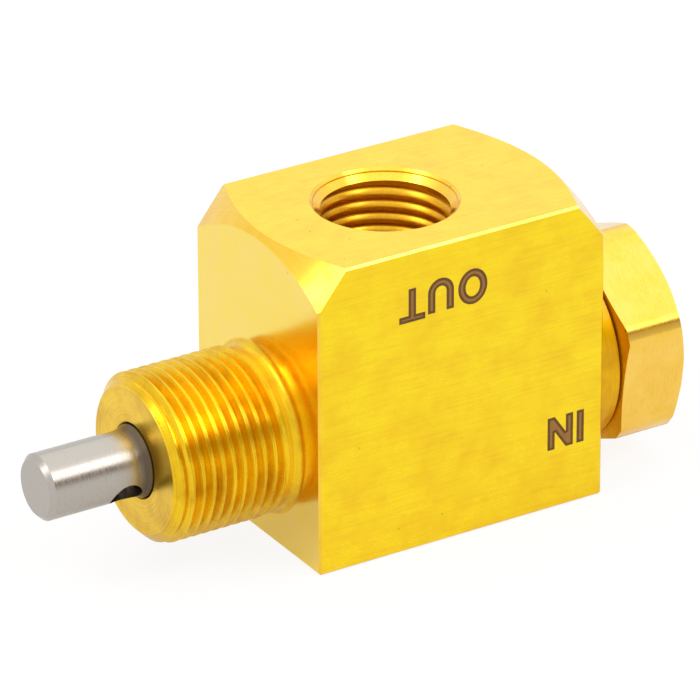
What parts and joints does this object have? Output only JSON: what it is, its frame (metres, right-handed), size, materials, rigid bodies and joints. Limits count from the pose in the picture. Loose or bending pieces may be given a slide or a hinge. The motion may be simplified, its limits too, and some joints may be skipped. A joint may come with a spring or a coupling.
{
  "type": "three-way air valve",
  "caption": "Small brass three-way poppet valve with a vented steel plunger in a threaded boss, a hexagonal inlet cap and a tapped outlet on top.",
  "frame": {"origin": "the point where the valve axis meets the block's near end face, which is the shoulder at the foot of the threaded boss", "axes": "+X along the valve axis from the plunger to the inlet cap, +Z out of the outlet port, -Y out of the face that carries the port words"},
  "size_m": [0.047, 0.0158, 0.0222],
  "materials": {
    "brass": "machined, bright",
    "stainless": "ground",
    "spring_steel": "drawn wire",
    "rubber": "moulded"
  },
  "bodies": {
    "body": {"valve_body": "brass", "seat_insert": "brass", "seat_o_ring": "rubber", "inlet_cap": "brass", "cap_o_ring": "rubber"},
    "plunger_group": {"plunger": "stainless", "plunger_o_ring": "rubber", "retaining_ring": "spring_steel", "spring_washer": "stainless", "return_spring": "spring_steel"},
    "poppet_group": {"poppet": "brass", "poppet_facing": "rubber", "poppet_spring": "spring_steel"}
  },
  "joints": [
    {"name": "plunger_press", "type": "slide", "parent": "body", "child": "plunger_group", "axis": [1, 0, 0], "range_m": [0, 0.0026], "stiffness_N_per_m": 2500, "springref_m": -0.0024, "deforming": ["return_spring"]},
    {"name": "poppet_lift", "type": "slide", "parent": "body", "child": "poppet_group", "axis": [1, 0, 0], "range_m": [0, 0.0019], "stiffness_N_per_m": 600, "springref_m": -0.003, "deforming": ["poppet_spring"]}
  ],
  "couplings": [
    {"joint": "poppet_lift", "follows": "plunger_press", "ratio": 0.73}
  ]
}
